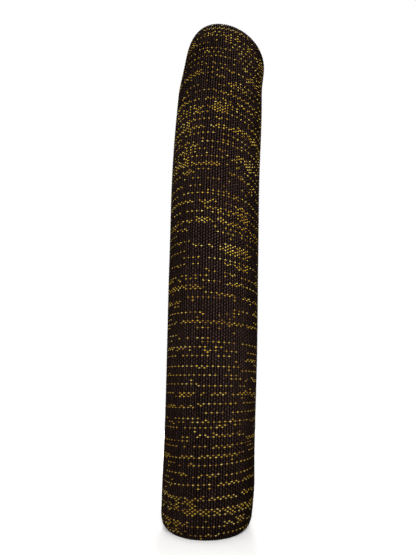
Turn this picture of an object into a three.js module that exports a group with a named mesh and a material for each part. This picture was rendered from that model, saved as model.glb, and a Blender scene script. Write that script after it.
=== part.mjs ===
import * as THREE from 'three';

// A length of coarse plain-woven cloth, wound into a roll that stands on one end.
// Millimetres, +Z up. The origin is the middle of the flat foot, and the front faces -Y.
// An angle round the roll is 0 at the front and a quarter turn at the right, +X.

const rollHeight = 453;
const clothThickness = 1.8; // one turn, and so the step where the outer edge lies on the turn below

// Rows at equal steps from the foot to the top: the roll's radius there, and how far it leans right.
const sections = [
  { radius: 38.4, lean: 0 },
  { radius: 38.6, lean: 2.1 },
  { radius: 39.5, lean: 4.2 },
  { radius: 40.6, lean: 5.6 },
  { radius: 41.1, lean: 7.4 },
  { radius: 40.7, lean: 12.0 },
  { radius: 38.0, lean: 15.5 },
];

// The lower end: a flat foot with a soft corner, drawn in a little further on the right.
const foot = { cornerHeight: 12.5, cornerInset: 6.8, rightInset: 3.4, rise: 38 };

// The upper end: a full dome that slopes down to its wider right shoulder. The widening sets in
// between two depths below the top, and the slope below a third.
const dome = { height: 32, fullness: 3.5, slope: 0.19, rightShoulder: 0.09, capShare: 0.8 };
const widening = { from: 58, to: 10 };
const slopeFrom = 51;

// The cloth is gathered over the cap and tucked into its middle. The gathers die out between two
// shares of the radius.
const tuck = { depth: 17, radius: 12 };
const gathers = { count: 11, depth: 1.5, drift: 0.9, driftStart: 0.6, fullShare: 0.45 };

// The outer edge of the cloth runs up the back of the roll.
const lap = { angle: THREE.MathUtils.degToRad(205), stepWidth: 1.2 };

// Broad soft hollows that keep the sides from being quite round.
const hollows = [
  { depth: 0.45, lobes: 2, turns: 0.7, start: 0.4 },
  { depth: 0.35, lobes: 3, turns: -1.6, start: 1.9 },
  { depth: 0.25, lobes: 5, turns: 2.3, start: 3.1 },
];

const columns = 76;
const sideRings = 30;
const cornerRings = 5;
const capRings = 11;

const nominalRadius = sections[0].radius;
const fullTurn = 2 * Math.PI;

// A smooth curve through one column of the section rows, at a share of the height.
function alongSections(name, share) {
  const last = sections.length - 1;
  const value = (row) => {
    if (row < 0) return 2 * sections[0][name] - sections[1][name];
    if (row > last) return 2 * sections[last][name] - sections[last - 1][name];
    return sections[row][name];
  };
  const place = THREE.MathUtils.clamp(share, 0, 1) * last;
  const row = Math.min(Math.floor(place), last - 1);
  const t = place - row;
  const [before, from, to, after] = [-1, 0, 1, 2].map((step) => value(row + step));
  const slope = (to - before) * t;
  const bend = (2 * before - 5 * from + 4 * to - after) * t * t;
  const twist = (3 * from - before - 3 * to + after) * t * t * t;
  return 0.5 * (2 * from + slope + bend + twist);
}

// The half outline before the sections widen it: foot, lower corner, side, shoulder, cap.
function halfOutline() {
  const points = [new THREE.Vector2(0, 0)];
  const footRadius = nominalRadius - foot.cornerInset;
  points.push(new THREE.Vector2(footRadius / 2, 0));
  for (let ring = 0; ring <= cornerRings; ring += 1) {
    const angle = (ring / cornerRings) * (Math.PI / 2);
    const radius = footRadius + foot.cornerInset * Math.sin(angle);
    points.push(new THREE.Vector2(radius, foot.cornerHeight * (1 - Math.cos(angle))));
  }
  const shoulder = rollHeight - dome.height;
  for (let ring = 1; ring <= sideRings; ring += 1) {
    const height = foot.cornerHeight + (ring / sideRings) * (shoulder - foot.cornerHeight);
    points.push(new THREE.Vector2(nominalRadius, height));
  }
  const capStart = Math.acos(dome.capShare ** (dome.fullness / 2));
  for (let ring = 1; ring <= cornerRings + 2; ring += 1) {
    const angle = (ring / (cornerRings + 2)) * capStart;
    const radius = nominalRadius * Math.cos(angle) ** (2 / dome.fullness);
    points.push(new THREE.Vector2(radius, shoulder + dome.height * Math.sin(angle) ** (2 / dome.fullness)));
  }
  for (let ring = 1; ring <= capRings; ring += 1) {
    const share = dome.capShare * (1 - ring / capRings);
    const rise = (1 - share ** dome.fullness) ** (1 / dome.fullness);
    points.push(new THREE.Vector2(nominalRadius * share, shoulder + dome.height * rise));
  }
  return points;
}

// Columns stand at even steps, but for the narrow one that is the step at the cloth's outer edge.
function columnAngle(column) {
  const stepAngle = lap.stepWidth / nominalRadius;
  const wrapped = column % columns;
  return lap.angle + stepAngle / 2 + (wrapped / (columns - 1)) * (fullTurn - stepAngle);
}

function woundPoint(outlineRadius, outlineHeight, column) {
  const angle = columnAngle(column);
  const share = outlineHeight / rollHeight;
  const outward = outlineRadius / nominalRadius;
  const offFloor = THREE.MathUtils.smoothstep(outlineHeight, 0, foot.rise);
  const belowTop = rollHeight - outlineHeight;
  const nearTop = 1 - THREE.MathUtils.smoothstep(belowTop, widening.to, widening.from);
  const sloped = 1 - THREE.MathUtils.smoothstep(belowTop, 0, slopeFrom);

  let radius = outward * alongSections('radius', share);
  radius -= (foot.rightInset * (1 - offFloor) * outward * (1 + Math.sin(angle))) / 2;

  const turned = (column % columns) / (columns - 1);
  radius += clothThickness * (0.5 - turned) * offFloor * outward;

  for (const hollow of hollows) {
    const phase = hollow.lobes * angle + hollow.turns * fullTurn * share + hollow.start;
    radius += hollow.depth * Math.sin(phase) * offFloor * (1 - nearTop) * outward;
  }

  const onCap = 1 - THREE.MathUtils.smoothstep(outward, gathers.fullShare, dome.capShare);
  const inTuck = Math.exp(-((radius / tuck.radius) ** 2));
  const wave = gathers.count * angle + gathers.drift * Math.sin(2 * angle + gathers.driftStart);
  const gather = gathers.depth * onCap * Math.min(1, radius / tuck.radius) * Math.sin(wave) * nearTop;
  const drop = tuck.depth * inTuck * nearTop;

  const across = radius * Math.sin(angle);
  const wide = 1 + dome.rightShoulder * nearTop * Math.sin(angle);
  const x = alongSections('lean', share) + across * wide;
  const y = -radius * Math.cos(angle);
  const z = outlineHeight - dome.slope * sloped * across + gather - drop;
  return new THREE.Vector3(x, y, z);
}

function makeRoll() {
  const outline = halfOutline();
  const geometry = new THREE.LatheGeometry(outline, columns);
  const position = geometry.getAttribute('position');
  for (let index = 0; index < position.count; index += 1) {
    const column = Math.floor(index / outline.length);
    const ring = outline[index % outline.length];
    const point = woundPoint(ring.x, ring.y, column);
    position.setXYZ(index, point.x, point.y, point.z);
  }
  geometry.computeVertexNormals();
  const cloth = new THREE.MeshStandardMaterial({ color: 0x1d1513, roughness: 0.92, metalness: 0 });
  const roll = new THREE.Mesh(geometry, cloth);
  roll.name = 'cloth_roll';
  return roll;
}

const part = new THREE.Group();
part.add(makeRoll());

export default part;
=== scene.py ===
import bpy
import bmesh
import math
import numpy as np
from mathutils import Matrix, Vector


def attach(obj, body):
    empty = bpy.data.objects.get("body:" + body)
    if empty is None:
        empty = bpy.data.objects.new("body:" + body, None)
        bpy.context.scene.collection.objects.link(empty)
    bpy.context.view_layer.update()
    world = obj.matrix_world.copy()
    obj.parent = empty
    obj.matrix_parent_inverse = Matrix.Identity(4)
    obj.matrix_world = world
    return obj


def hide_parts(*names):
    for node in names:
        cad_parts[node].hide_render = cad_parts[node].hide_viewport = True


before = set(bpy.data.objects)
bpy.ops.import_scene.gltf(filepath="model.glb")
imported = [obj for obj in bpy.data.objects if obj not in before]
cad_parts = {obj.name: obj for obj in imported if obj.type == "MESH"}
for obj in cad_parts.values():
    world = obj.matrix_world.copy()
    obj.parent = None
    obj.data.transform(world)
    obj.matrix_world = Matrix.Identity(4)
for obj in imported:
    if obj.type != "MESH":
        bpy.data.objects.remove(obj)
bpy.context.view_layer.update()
print("frame loaded")

# Lengths are in millimetres unless a name says otherwise, and a mesh is scaled to metres when it is made.
# An angle round the roll is 0 at the front, -Y, and a quarter turn at the right, +X.
# Ribs are the yarns that run up the roll, and rows are the yarns that run round it.
# "turned" is a share of one turn from the cloth's outer edge. "along" is a distance on the cloth, from the
# middle of the foot, up the side and over to the middle of the top.
metres = 0.001
fullTurn = 2 * math.pi


# Shader helper

def colourRamp(nodes, stops, label):
    node = nodes.new("ShaderNodeValToRGB")
    node.label = label
    while len(node.color_ramp.elements) < len(stops):
        node.color_ramp.elements.new(0.5)
    for element, (position, colour) in zip(node.color_ramp.elements, stops):
        element.position = position
        element.color = (*colour, 1)
    return node


# Camera, floor and light

photoView = {
    "wide": 416, "high": 555,       # the photograph's frame, in pixels
    "focal": 370,                   # in pixels
    "centreRow": 328,               # the pixel row that the lens axis meets
    "distance": 327.6, "height": 112.3,
    "pitch": 9.2,                   # degrees upwards
    "sensor": 36, "clipStart": 10,
}


def makeCamera():
    view = photoView
    data = bpy.data.cameras.new("camera")
    data.sensor_width = view["sensor"]
    data.lens = view["focal"] / view["high"] * view["sensor"]
    data.shift_y = (view["centreRow"] - view["high"] / 2) / view["high"]
    data.clip_start = view["clipStart"] * metres
    camera = bpy.data.objects.new("camera", data)
    camera.location = (0, -view["distance"] * metres, view["height"] * metres)
    camera.rotation_euler = (math.radians(90 + view["pitch"]), 0, 0)
    bpy.context.collection.objects.link(camera)
    bpy.context.scene.camera = camera


studio = {
    "floorRadius": 12000, "floorColour": (0.9, 0.9, 0.9, 1), "floorRoughness": 0.9,
    # The floor's own glow: paler away from the roll, so that it runs into the white backdrop.
    "glowRadius": 1200, "glow": ((0.0, (1, 1, 1)), (0.45, (0.8, 0.8, 0.8)), (0.8, (0.30, 0.30, 0.31))),
    # name, width, watts, place, aim, colour
    "lamps": (
        ("over", 700, 7, (0, 0, 1500), (0, 0, 0), (1, 1, 1)),
        ("front", 200, 2.2, (8, -420, 265), (8, 0, 245), (1, 0.98, 0.95)),
        ("back", 260, 5, (8, 700, 245), (8, 0, 225), (1, 0.98, 0.95)),
        ("right", 500, 0.4, (1100, -250, 260), (0, 0, 215), (1, 0.62, 0.45)),
        ("left", 500, 0.25, (-1100, -250, 260), (0, 0, 215), (1, 0.9, 0.8)),
        # Light that a white floor would throw back on the foot's corner.
        ("low front", 160, 0.3, (0, -330, 12), (0, 0, 12), (1, 0.98, 0.95)),
        ("low back", 160, 0.3, (0, 330, 12), (0, 0, 12), (1, 0.98, 0.95)),
    ),
}


def makeFloor():
    bm = bmesh.new()
    bmesh.ops.create_circle(bm, cap_ends=True, segments=96, radius=studio["floorRadius"] * metres)
    mesh = bpy.data.meshes.new("floor")
    bm.to_mesh(mesh)
    bm.free()
    floor = bpy.data.objects.new("floor", mesh)
    bpy.context.collection.objects.link(floor)
    material = bpy.data.materials.new("floor")
    material.use_nodes = True
    shader = material.node_tree.nodes["Principled BSDF"]
    shader.inputs["Base Color"].default_value = studio["floorColour"]
    shader.inputs["Roughness"].default_value = studio["floorRoughness"]
    shader.inputs["Specular IOR Level"].default_value = 0
    shader.inputs["Emission Strength"].default_value = 1
    nodes, links = material.node_tree.nodes, material.node_tree.links
    place = nodes.new("ShaderNodeTexCoord")
    scale = nodes.new("ShaderNodeMapping")
    scale.inputs["Scale"].default_value = [1 / (studio["glowRadius"] * metres)] * 3
    fromRoll = nodes.new("ShaderNodeTexGradient")
    fromRoll.gradient_type = "SPHERICAL"
    glow = colourRamp(nodes, studio["glow"], "glow")
    links.new(place.outputs["Object"], scale.inputs["Vector"])
    links.new(scale.outputs["Vector"], fromRoll.inputs["Vector"])
    links.new(fromRoll.outputs["Fac"], glow.inputs["Fac"])
    links.new(glow.outputs["Color"], shader.inputs["Emission Color"])
    mesh.materials.append(material)
    floor.visible_diffuse = False   # the roll is lit by the lamps alone, so its sides stay dark
    floor.visible_glossy = False


def makeLamps():
    for name, width, power, place, aim, colour in studio["lamps"]:
        data = bpy.data.lights.new(name, "AREA")
        data.size = width * metres
        data.energy = power
        data.color = colour
        lamp = bpy.data.objects.new(name, data)
        lamp.location = Vector(place) * metres
        lamp.rotation_euler = (Vector(aim) - Vector(place)).to_track_quat("-Z", "Y").to_euler()
        lamp.visible_camera = False
        bpy.context.collection.objects.link(lamp)
    world = bpy.data.worlds.new("white backdrop")
    world.use_nodes = True
    backdrop = world.node_tree.nodes["Background"]
    backdrop.inputs["Color"].default_value = (1, 1, 1, 1)
    world.cycles_visibility.diffuse = False
    world.cycles_visibility.glossy = False
    bpy.context.scene.world = world
    bpy.context.scene.view_settings.view_transform = "Standard"


makeCamera()
makeFloor()
makeLamps()
print("camera, floor and lamps placed")


# The roll's form

roll = {
    "height": 453, "radius": 38.4, "clothThickness": 1.8,
    # The radius, and the lean to the right, at equal steps from the foot to the top.
    "radii": (38.4, 38.6, 39.5, 40.6, 41.1, 40.7, 38.0),
    "leans": (0, 2.1, 4.2, 5.6, 7.4, 12.0, 15.5),
    # Broad soft hollows: depth, lobes round the roll, turns up it, start.
    "hollows": ((0.45, 2, 0.7, 0.4), (0.35, 3, -1.6, 1.9), (0.25, 5, 2.3, 3.1)),
    "edgeAngle": 205, "stepWidth": 1.2,
}
foot = {"cornerHeight": 12.5, "cornerInset": 6.8, "rightInset": 3.4, "rise": 38}
dome = {
    "height": 32, "fullness": 3.5, "slope": 0.19, "slopeFrom": 51,
    "rightShoulder": 0.09, "wideningFrom": 58, "wideningTo": 10,
    "tuckDepth": 17, "tuckRadius": 12,
    "gathers": 11, "gatherDepth": 1.5, "drift": 0.9, "driftStart": 0.6,
    "fullShare": 0.45, "rimShare": 0.8,
}
footRadius = roll["radius"] - foot["cornerInset"]


def smoothStep(value, start, end):
    t = np.clip((value - start) / (end - start), 0, 1)
    return t * t * (3 - 2 * t)


# A smooth curve through the rows of a table, read at a share of the height.
def alongSections(rows, share):
    rows = np.array(rows, float)
    last = len(rows) - 1
    ends = np.concatenate([[2 * rows[0] - rows[1]], rows, [2 * rows[-1] - rows[-2]]])
    place = np.clip(share, 0, 1) * last
    row = np.minimum(np.floor(place).astype(int), last - 1)
    t = place - row
    before, start, end, after = (ends[row + step] for step in range(4))
    bend = 2 * before - 5 * start + 4 * end - after
    twist = 3 * start - before - 3 * end + after
    return 0.5 * (2 * start + (end - before) * t + bend * t ** 2 + twist * t ** 3)


# The half outline, from the middle of the foot to the middle of the top: radius, height, distance.
def halfOutline():
    shoulder = roll["height"] - dome["height"]
    corner = np.linspace(0, math.pi / 2, 30)
    crown = np.linspace(0, math.pi / 2, 240)[1:]
    power = 2 / dome["fullness"]
    radius = np.concatenate([
        [0],
        footRadius + foot["cornerInset"] * np.sin(corner),
        [roll["radius"]],
        roll["radius"] * np.clip(np.cos(crown), 0, 1) ** power,
    ])
    height = np.concatenate([
        [0],
        foot["cornerHeight"] * (1 - np.cos(corner)),
        [shoulder],
        shoulder + dome["height"] * np.sin(crown) ** power,
    ])
    radius[-1] = 0
    steps = np.hypot(np.diff(radius), np.diff(height))
    return radius, height, np.concatenate([[0], np.cumsum(steps)])


outlineRadius, outlineHeight, outlineAlong = halfOutline()
clothLength = outlineAlong[-1]


def angleAt(turned):
    step = roll["stepWidth"] / roll["radius"]
    return math.radians(roll["edgeAngle"]) + step / 2 + turned * (fullTurn - step)


# Places on the roll, for arrays of shares of a turn and of distances along the cloth.
def woundPoint(turned, along):
    angle = angleAt(turned)
    flat = np.interp(along, outlineAlong, outlineRadius)
    height = np.interp(along, outlineAlong, outlineHeight)
    share = height / roll["height"]
    outward = flat / roll["radius"]
    offFloor = smoothStep(height, 0, foot["rise"])
    belowTop = roll["height"] - height
    nearTop = 1 - smoothStep(belowTop, dome["wideningTo"], dome["wideningFrom"])
    sloped = 1 - smoothStep(belowTop, 0, dome["slopeFrom"])

    radius = outward * alongSections(roll["radii"], share)
    radius = radius - foot["rightInset"] * (1 - offFloor) * outward * (1 + np.sin(angle)) / 2
    radius = radius + roll["clothThickness"] * (0.5 - turned) * offFloor * outward
    for depth, lobes, turns, start in roll["hollows"]:
        phase = lobes * angle + turns * fullTurn * share + start
        radius = radius + depth * np.sin(phase) * offFloor * (1 - nearTop) * outward

    onCap = 1 - smoothStep(outward, dome["fullShare"], dome["rimShare"])
    inTuck = np.exp(-((radius / dome["tuckRadius"]) ** 2))
    wave = dome["gathers"] * angle + dome["drift"] * np.sin(2 * angle + dome["driftStart"])
    gather = dome["gatherDepth"] * onCap * np.minimum(1, radius / dome["tuckRadius"]) * np.sin(wave)
    drop = dome["tuckDepth"] * inTuck

    across = radius * np.sin(angle)
    wide = 1 + dome["rightShoulder"] * nearTop * np.sin(angle)
    x = alongSections(roll["leans"], share) + across * wide
    y = -radius * np.cos(angle)
    z = height - dome["slope"] * sloped * across + (gather - drop) * nearTop
    return np.stack([x, y, z], axis=-1)


# The weave: ribs and rows, and the plain weave's cells where they cross

weave = {
    "ribs": 115, "rowPitch": 1.36,
    # How far the rows run off level: height on the roll, and the drop on the right.
    "skewHeights": (0, 40, 110, 260, 330, 420, 440),
    "skewDrops": (0, -3.3, 0, 6.7, 7.5, 7.5, 0),
    "skewShare": 0.4,               # of the foot's radius, inside which the skew dies out
    "bareRadius": 4.5,              # the middle of each end, inside this, is left as plain backing
    "floorReach": 6,                # stitches sink into the roll this close to the floor
}
rowCount = int(clothLength / weave["rowPitch"])


# Places on the roll, for arrays of rib and row numbers, which may be fractions.
def clothPoint(rib, row):
    turned = rib / weave["ribs"]
    along = row / rowCount * clothLength
    height = np.interp(along, outlineAlong, outlineHeight)
    flat = np.interp(along, outlineAlong, outlineRadius)
    onSide = smoothStep(flat, weave["skewShare"] * footRadius, footRadius)
    drop = np.interp(height, weave["skewHeights"], weave["skewDrops"])
    return woundPoint(turned, along - drop * np.sin(angleAt(turned)) * onSide)


def unit(vectors):
    lengths = np.linalg.norm(vectors, axis=-1, keepdims=True)
    return vectors / np.maximum(lengths, 1e-9)


# The place, the outward normal, the directions round the roll and up it, and the pitch of the ribs.
def clothFrame(rib, row):
    step = 0.05
    place = clothPoint(rib, row)
    across = clothPoint(rib + step, row) - clothPoint(rib - step, row)
    upwards = clothPoint(rib, row + step) - clothPoint(rib, row - step)
    ribPitch = np.linalg.norm(across, axis=-1) / (2 * step)
    across = unit(across)
    normal = unit(np.cross(across, upwards))
    return place, normal, across, np.cross(normal, across), ribPitch


def radiusAt(row):
    return np.interp(row / rowCount * clothLength, outlineAlong, outlineRadius)


# A smooth random value over the cloth, from about -1 to 1.
def drift(rib, row, rowScale, seed):
    dice = np.random.default_rng(seed)
    value = 0
    waves = 6
    for _ in range(waves):
        lobes, slope, start = dice.integers(1, 5), dice.normal(0, 1), dice.uniform(0, fullTurn)
        value = value + np.sin(lobes * fullTurn * rib / weave["ribs"] + slope * row / rowScale + start)
    return value * 2 / waves


# Broad patches of wear, which the backing and the yarns share.
wearDrift = {"rowScale": 30, "seed": 8}


def addAttribute(mesh, name, values):
    layer = mesh.attributes.new(name, "FLOAT", "POINT")
    layer.data.foreach_set("value", np.asarray(values, np.float32))


# Materials

def attributeNode(nodes, name):
    node = nodes.new("ShaderNodeAttribute")
    node.attribute_name = name
    return node


# The first input plus a share of the second.
def addShare(nodes, links, base, extra, share):
    node = nodes.new("ShaderNodeMath")
    node.operation = "MULTIPLY_ADD"
    node.inputs[1].default_value = share
    links.new(extra, node.inputs[0])
    links.new(base, node.inputs[2])
    return node.outputs[0]


# The strands of a spun yarn, as a wave on each stitch's own slanted coordinate.
def addStrands(nodes, links, turns):
    slant = nodes.new("ShaderNodeMath")
    slant.operation = "MULTIPLY"
    slant.inputs[1].default_value = turns * fullTurn
    links.new(attributeNode(nodes, "slant").outputs["Fac"], slant.inputs[0])
    wave = nodes.new("ShaderNodeMath")
    wave.operation = "SINE"
    links.new(slant.outputs[0], wave.inputs[0])
    return wave.outputs[0]


fibres = {"detail": 3, "bumpStrength": 0.6}


# Loose fibres as fine bump on object coordinates, and the strands where the yarn has them.
def addFibres(nodes, links, shader, settings, strands):
    place = nodes.new("ShaderNodeTexCoord")
    fibre = nodes.new("ShaderNodeTexNoise")
    fibre.inputs["Scale"].default_value = settings["fibreScale"]
    fibre.inputs["Detail"].default_value = fibres["detail"]
    links.new(place.outputs["Object"], fibre.inputs["Vector"])
    height = fibre.outputs["Fac"]
    if strands:
        height = addShare(nodes, links, height, strands, settings["strandDepth"])
    bump = nodes.new("ShaderNodeBump")
    bump.inputs["Strength"].default_value = fibres["bumpStrength"]
    bump.inputs["Distance"].default_value = settings["fibreDepth"] * metres
    links.new(height, bump.inputs["Height"])
    links.new(bump.outputs["Normal"], shader.inputs["Normal"])


def yarnMaterial(name, settings, drivers):
    material = bpy.data.materials.new(name)
    material.use_nodes = True
    nodes, links = material.node_tree.nodes, material.node_tree.links
    shader = nodes["Principled BSDF"]
    shader.inputs["Roughness"].default_value = settings["roughness"]
    shader.inputs["Specular IOR Level"].default_value = settings["specular"]
    colours = colourRamp(nodes, settings["colours"], name)
    # For the stitches the drivers include the crown, which the colours paint as shade at each stitch's
    # foot and a highlight on its top.
    first, *others = drivers
    value = attributeNode(nodes, first).outputs["Fac"]
    for attribute, share in others:
        value = addShare(nodes, links, value, attributeNode(nodes, attribute).outputs["Fac"], share)
    strands = None
    if "strandTurns" in settings:
        strands = addStrands(nodes, links, settings["strandTurns"])
        # The strands in the colours: painted shade in the grooves between them.
        value = addShare(nodes, links, value, strands, settings["strandShade"])
    links.new(value, colours.inputs["Fac"])
    links.new(colours.outputs["Color"], shader.inputs["Base Color"])
    addFibres(nodes, links, shader, settings, strands)
    return material


# Backing: the ground of the outer turn, below the yarns that show

backing = {
    "depth": 0.35, "rowsPerFace": 2,
    "roughness": 0.85, "specular": 0.02, "fibreScale": 2600, "fibreDepth": 0.2,
    # Near black, far darker than the yarns: painted shade in the gaps between the stitches.
    "colours": ((0.0, (0.0010, 0.0006, 0.0005)), (1.0, (0.0045, 0.0030, 0.0025))),
}


def makeBacking():
    columns = weave["ribs"] + 1     # one for each rib, and one for the step at the outer edge
    faceRows = rowCount // backing["rowsPerFace"]
    bm = bmesh.new()
    bm.loops.layers.uv.new("cloth")
    bmesh.ops.create_grid(bm, x_segments=columns, y_segments=faceRows, size=0.5, calc_uvs=True)
    mesh = bpy.data.meshes.new("cloth_backing")
    bm.to_mesh(mesh)
    bm.free()

    flat = np.empty(3 * len(mesh.vertices))
    mesh.vertices.foreach_get("co", flat)
    flat = flat.reshape(-1, 3)
    rib = np.rint((flat[:, 0] + 0.5) * columns)
    rib[rib == columns] = 0
    share = flat[:, 1] + 0.5
    atFoot, atTop = share < 0.001, share > 0.999
    row = share * rowCount
    _, normal, _, _, _ = clothFrame(rib, np.clip(row, 0.2, rowCount - 0.2))
    place = clothPoint(rib, row) - normal * backing["depth"]
    place[atFoot] = 0
    place[atTop] = place[atTop].mean(axis=0)
    place[:, 2] = np.maximum(place[:, 2], 0)

    mesh.vertices.foreach_set("co", (place * metres).ravel())
    addAttribute(mesh, "wear", 0.5 + 0.5 * drift(rib, row, **wearDrift))
    bm = bmesh.new()
    bm.from_mesh(mesh)
    bmesh.ops.remove_doubles(bm, verts=bm.verts, dist=0.001 * metres)
    for face in bm.faces:
        face.smooth = True
    bm.to_mesh(mesh)
    bm.free()
    mesh.materials.append(yarnMaterial("backing yarn", backing, ("wear",)))
    piece = bpy.data.objects.new("cloth_backing", mesh)
    bpy.context.collection.objects.link(piece)
    return piece


# Gold in the rows: a space-dyed yarn, so that it shows in runs

gold = {
    # At heights on the roll: how many runs a row has all round, and the chance that the next row has
    # each of them too.
    "heights": (0, 60, 130, 260, 400, 440),
    "runsPerRow": (1.75, 1.6, 1.45, 1.45, 1.5, 1.4),
    "carryOn": (0.25, 0.12, 0.12, 0.15, 0.2, 0.3),
    "length": (4, 62), "shortness": 2,  # of a run, in ribs, and how much more common short runs are
    "mostOwed": 1.6,                # a row that is owed this many runs starts one for certain
    "share": 0.82,                  # of a run's stitches that are gold
    "places": 9, "rowsApart": 4,    # of this many places a run takes the one with least gold just below
    "sprinkle": 0.025,              # loose gold stitches, as a share of all
    "patchFront": 80,               # degrees either side of the front where the patches lie
    "ragged": 2.2,                  # how unevenly a patch's rows start and stop, in photo columns
    "seed": 19,
}

# The largest patches of gold in the photograph: the photo row of the middle, the first and last photo
# column, how many rows of the weave it takes, and the share of its stitches that are gold.
goldPatches = (
    (33, 208, 240, 4, 0.4), (45, 230, 252, 5, 0.35), (57, 248, 261, 7, 0.3), (82, 243, 259, 7, 0.3),
    (88, 229, 246, 4, 0.8), (107, 212, 236, 7, 0.7), (112, 187, 203, 5, 0.5), (126, 182, 192, 7, 0.6),
    (149, 185, 196, 6, 0.7), (159, 177, 187, 8, 0.6), (158, 224, 243, 5, 0.6), (168, 241, 256, 7, 0.8),
    (217, 237, 250, 8, 0.7), (251, 221, 248, 7, 0.7), (268, 239, 248, 5, 0.7), (505, 172, 196, 6, 0.6),
    (519, 225, 244, 4, 0.6), (526, 166, 185, 7, 0.45),
)


# Runs all round the roll, each of which the next row may have too.
def addRuns(isGold, dice):
    runs, owed = [], 0
    shortest, longest = gold["length"]
    for row in range(rowCount + 1):
        height = np.interp(row / rowCount * clothLength, outlineAlong, outlineHeight)
        perRow = np.interp(height, gold["heights"], gold["runsPerRow"])
        carryOn = np.interp(height, gold["heights"], gold["carryOn"])
        runs = [run for run in runs if dice.random() < carryOn]
        below = isGold[max(row - gold["rowsApart"], 0):row].sum(axis=0)
        owed += perRow * (1 - carryOn)
        while owed > dice.uniform(0, gold["mostOwed"]):
            owed -= 1
            length = round(shortest + (longest - shortest) * dice.random() ** gold["shortness"])
            starts = dice.integers(weave["ribs"], size=gold["places"])
            places = [np.arange(start, start + length) % weave["ribs"] for start in starts]
            runs.append(min(places, key=lambda ribs: below[ribs].sum()))
        for run in runs:
            isGold[row, run] |= dice.random(len(run)) < gold["share"]


# The photo column and row that places on the roll are seen at.
def photoPlace(points):
    view = photoView
    pitch = math.radians(view["pitch"])
    back = points[..., 1] + view["distance"]
    up = points[..., 2] - view["height"]
    depth = back * math.cos(pitch) + up * math.sin(pitch)
    rise = up * math.cos(pitch) - back * math.sin(pitch)
    column = view["wide"] / 2 + view["focal"] * points[..., 0] / depth
    return column, view["centreRow"] - view["focal"] * rise / depth


# The patches: each takes rows around the one that is seen at its middle, with ragged ends.
def addPatches(isGold, dice):
    row, rib = np.mgrid[0:rowCount + 1, 0:weave["ribs"]]
    angle = np.degrees(angleAt((rib[0] + 0.5) / weave["ribs"])) % 360
    front = np.nonzero(np.minimum(angle, 360 - angle) < gold["patchFront"])[0]
    seenColumn, seenRow = photoPlace(clothPoint(rib[:, front] + 0.5, row[:, front]))
    for photoRow, first, last, rows, share in goldPatches:
        nearest = np.abs(seenColumn - (first + last) / 2).argmin(axis=1)
        rowsThere = np.take_along_axis(seenRow, nearest[:, None], axis=1)[:, 0]
        lowest, highest = rowsThere.argmax(), rowsThere.argmin()  # rows past these are hidden
        middle = lowest + np.abs(rowsThere[lowest:highest + 1] - photoRow).argmin()
        for number in range(middle - rows // 2, middle - rows // 2 + rows):
            start, stop = np.array([first, last]) + dice.normal(0, gold["ragged"], 2)
            ribs = front[(seenColumn[number] > start) & (seenColumn[number] < stop)]
            isGold[number, ribs] |= dice.random(len(ribs)) < share


# True for each cell, row by rib, whose yarn round the roll is gold.
def goldCells():
    dice = np.random.default_rng(gold["seed"])
    isGold = np.zeros((rowCount + 1, weave["ribs"]), bool)
    addRuns(isGold, dice)
    addPatches(isGold, dice)
    isGold |= dice.random(isGold.shape) < gold["sprinkle"]
    print("gold share of all rows", isGold.mean().round(3))
    return isGold


# Stitches: each place where a yarn comes to the face of the cloth, as one short raised float

everyStitch = {
    # How stitches vary: the place, in ribs and rows, the tilt as a slope, and the sizes as shares.
    "ribJitter": 0.03, "rowJitter": 0.05, "tilt": 0.07,
    "lengths": (0.88, 1.1), "widths": (0.86, 1.1), "heights": (0.88, 1.1),
    # How far the tone varies, and what it and a slow drift over the rows add to the dye.
    "toneSpread": 0.5, "dyeTone": 0.4, "dyeDrift": 0.18, "dyeRowScale": 14,
    "strandSlant": 0.6,             # how far a strand leans off square across the yarn
}

# Length and width are shares of the pitch of the ribs or of the rows, whichever the stitch lies along.
# "bend" is how far the ends dip, and "shades" what each attribute adds to the place in the colours.
# "crown", the height on the stitch, is painted shade at its foot and a painted highlight on its top.
# The strands of the yarn: how many to half a stitch, what they add to the bump, and the painted shade
# between them that they add to the colours.
ribStitch = {
    "along": "rib", "length": 2.05, "width": 0.86, "height": 0.56, "bend": 0.20, "sink": 0.05,
    "sides": 6, "bands": 3, "seed": 30,
    "roughness": 0.8, "specular": 0.03, "fibreScale": 2600, "fibreDepth": 0.2,
    "strandTurns": 2.1, "strandDepth": 0.3, "strandShade": 0.09,
    # Driven mostly by the crown: near black at each rib stitch's foot is painted shade, and the pale top
    # is a painted highlight.
    "colours": (
        (0.0, (0.0010, 0.0005, 0.0004)), (0.5, (0.006, 0.0034, 0.0027)),
        (0.82, (0.030, 0.0175, 0.0140)), (1.0, (0.068, 0.041, 0.034)),
    ),
    "shades": ("crown", ("yarnTone", 0.10), ("tone", 0.06), ("wear", 0.05)),
}
goldStitch = {
    "along": "row", "length": 0.88, "width": 0.78, "height": 0.40, "bend": 0.30, "sink": 0.0,
    "sides": 6, "bands": 1, "seed": 31,
    "roughness": 0.55, "specular": 0.2, "fibreScale": 3200, "fibreDepth": 0.12,
    "strandTurns": 1.5, "strandDepth": 0.4, "strandShade": 0.10,
    "colours": (
        (0.0, (0.16, 0.063, 0.007)), (0.35, (0.42, 0.235, 0.015)),
        (0.75, (0.66, 0.455, 0.034)), (1.0, (0.80, 0.64, 0.18)),
    ),
    # The crown's share is a painted highlight on the top of each gold stitch, with painted shade at its
    # foot.
    "shades": ("dye", ("crown", 0.12)),
}
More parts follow.
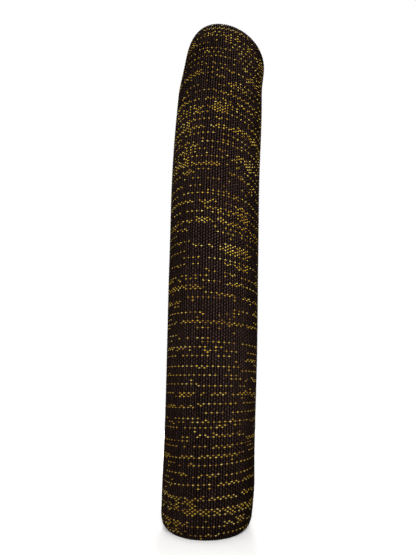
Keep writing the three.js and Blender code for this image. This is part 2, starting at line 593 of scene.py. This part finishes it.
darkStitch = {
    "along": "row", "length": 0.92, "width": 0.74, "height": 0.36, "bend": 0.30, "sink": 0.05,
    "sides": 4, "bands": 2, "seed": 32,
    "roughness": 0.8, "specular": 0.03, "fibreScale": 2600, "fibreDepth": 0.15,
    "strandTurns": 1.5, "strandDepth": 0.3, "strandShade": 0.09,
    # By the crown: painted shade at each dark stitch's foot, up to the yarn's own colour on its top.
    "colours": (
        (0.0, (0.0010, 0.0005, 0.0004)), (0.5, (0.006, 0.0034, 0.0027)), (1.0, (0.030, 0.0175, 0.0140)),
    ),
    "shades": ("crown", ("tone", 0.15)),
}
edgeStitch = {
    "along": "edge", "length": 1.7, "width": 1.15, "height": 0.6, "bend": 0.2, "sink": 0.1,
    "sides": 6, "bands": 1, "seed": 33,
    "roughness": 0.8, "specular": 0.03, "fibreScale": 2600, "fibreDepth": 0.15,
    "strandTurns": 1.5, "strandDepth": 0.3, "strandShade": 0.09,
    "colours": ribStitch["colours"],
    # By the crown: painted shade at each edge stitch's foot and a painted highlight on its top.
    "shades": ("crown", ("tone", 0.12)),
}


# One stitch: a low dome, two units long and wide, along X, with its ends bent down.
def makeStitchForm(settings):
    bm = bmesh.new()
    bmesh.ops.create_uvsphere(bm, u_segments=settings["sides"], v_segments=4, radius=1)
    geometry = bm.verts[:] + bm.edges[:] + bm.faces[:]
    bmesh.ops.bisect_plane(
        bm, geom=geometry, dist=0.001, plane_co=(0, 0, 0), plane_no=(0, 0, 1), clear_inner=True)
    bmesh.ops.holes_fill(bm, edges=[edge for edge in bm.edges if edge.is_boundary], sides=0)
    bmesh.ops.recalc_face_normals(bm, faces=bm.faces)
    bmesh.ops.triangulate(bm, faces=bm.faces)
    bm.verts.index_update()
    points = np.array([vertex.co[:] for vertex in bm.verts])
    faces = np.array([[vertex.index for vertex in face.verts] for face in bm.faces])
    bm.free()
    # crown: the height on the dome, which the colours paint as shade at the stitch's foot and a highlight
    # on its top.
    crown = points[:, 2].copy()
    slant = points[:, 0] + everyStitch["strandSlant"] * points[:, 1]  # rises across the strands
    points[:, 2] -= settings["bend"] * points[:, 0] ** 2
    return points, faces, crown, slant


# The three directions of each stitch, at their full sizes: along it, across it and out of the cloth.
def stitchAxes(settings, frameThere, dice):
    _, normal, across, upwards, ribPitch = frameThere
    count = len(ribPitch)
    length = settings["length"] / 2 * dice.uniform(*everyStitch["lengths"], count)
    width = settings["width"] / 2 * dice.uniform(*everyStitch["widths"], count)
    height = settings["height"] * dice.uniform(*everyStitch["heights"], count)
    tilt = dice.normal(0, everyStitch["tilt"], count)[:, None]
    ahead, aside = across + upwards * tilt, upwards - across * tilt
    if settings["along"] == "row":
        axes = ((ahead, length * ribPitch), (aside, width * weave["rowPitch"]), (normal, height))
    elif settings["along"] == "rib":
        axes = ((aside, length * weave["rowPitch"]), (-ahead, width * ribPitch), (normal, height))
    else:
        turn = length * roll["clothThickness"] / 2
        axes = ((normal, turn), (upwards, width * weave["rowPitch"]), (-across, height))
    return [axis * size[:, None] for axis, size in axes]


def makeStitches(name, row, rib, settings):
    dice = np.random.default_rng(settings["seed"])
    count = len(row)
    ribThere = rib + dice.normal(0, everyStitch["ribJitter"], count)
    rowThere = row + dice.normal(0, everyStitch["rowJitter"], count)
    frameThere = clothFrame(ribThere, rowThere)
    place, normal = frameThere[:2]
    points, faces, crown, slant = makeStitchForm(settings)
    nearFloor = 1 - smoothStep(place[:, 2], 0, weave["floorReach"])
    out = -settings["sink"] - nearFloor * settings["height"]
    if settings["along"] == "edge":
        out = out - roll["clothThickness"] / 2
    spots = (place + normal * out[:, None])[:, None, :]
    for number, axis in enumerate(stitchAxes(settings, frameThere, dice)):
        spots = spots + points[None, :, number:number + 1] * axis[:, None, :]
    spots[..., 2] = np.maximum(spots[..., 2], 0)

    yarn = dice.uniform(-1, 1, weave["ribs"] + 1)[rib.astype(int)]
    tone = dice.normal(0, everyStitch["toneSpread"], count)
    wear = drift(rib, row, **wearDrift)
    slow = drift(rib, row, everyStitch["dyeRowScale"], settings["seed"])
    dye = np.clip(0.5 + everyStitch["dyeTone"] * tone + everyStitch["dyeDrift"] * slow, 0, 1)
    material = yarnMaterial(name.replace("_", " "), settings, settings["shades"])
    pieces = []
    bands = np.array_split(np.arange(count), settings["bands"])
    for number, band in enumerate(bands, start=1):
        pieceName = name if len(bands) == 1 else f"{name}_{number}"
        starts = np.arange(len(band)) * len(points)
        mesh = bpy.data.meshes.new(pieceName)
        bandFaces = (faces[None] + starts[:, None, None]).reshape(-1, 3)
        mesh.from_pydata(spots[band].reshape(-1, 3) * metres, (), bandFaces)
        mesh.shade_smooth()
        # The height that the colours paint as shade at the foot and a highlight on the top.
        addAttribute(mesh, "crown", np.tile(crown, len(band)))
        addAttribute(mesh, "slant", np.tile(slant, len(band)))
        for attribute, values in (("yarnTone", yarn), ("tone", tone), ("wear", wear), ("dye", dye)):
            addAttribute(mesh, attribute, np.repeat(values[band], len(points)))
        mesh.materials.append(material)
        piece = bpy.data.objects.new(pieceName, mesh)
        bpy.context.collection.objects.link(piece)
        pieces.append(piece)
        print(pieceName, len(band), "stitches,", len(bandFaces), "triangles")
    return pieces


# The plain weave: a rib shows in every second cell, and a row in the cells between.
def weaveCloth():
    row, rib = np.mgrid[0:rowCount + 1, 0:weave["ribs"]]
    shown = radiusAt(row) > weave["bareRadius"]
    ribOver = shown & ((row + rib) % 2 == 0)
    rowOver = shown & ~ribOver
    isGold = goldCells()
    pieces = []
    for name, cells, settings in (
        ("rib_yarn", ribOver, ribStitch),
        ("gold_yarn", rowOver & isGold, goldStitch),
        ("dark_yarn", rowOver & ~isGold, darkStitch),
    ):
        cellRow, cellRib = np.nonzero(cells)
        pieces += makeStitches(name, cellRow, cellRib + 0.5, settings)
    edgeRow = np.nonzero(shown[:, 0])[0][::2]
    pieces += makeStitches("edge_turns", edgeRow, np.zeros(len(edgeRow)), edgeStitch)
    return pieces


clothBacking = makeBacking()
for piece in [clothBacking] + weaveCloth():
    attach(piece, "root")
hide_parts("cloth_roll")
print("cloth woven")
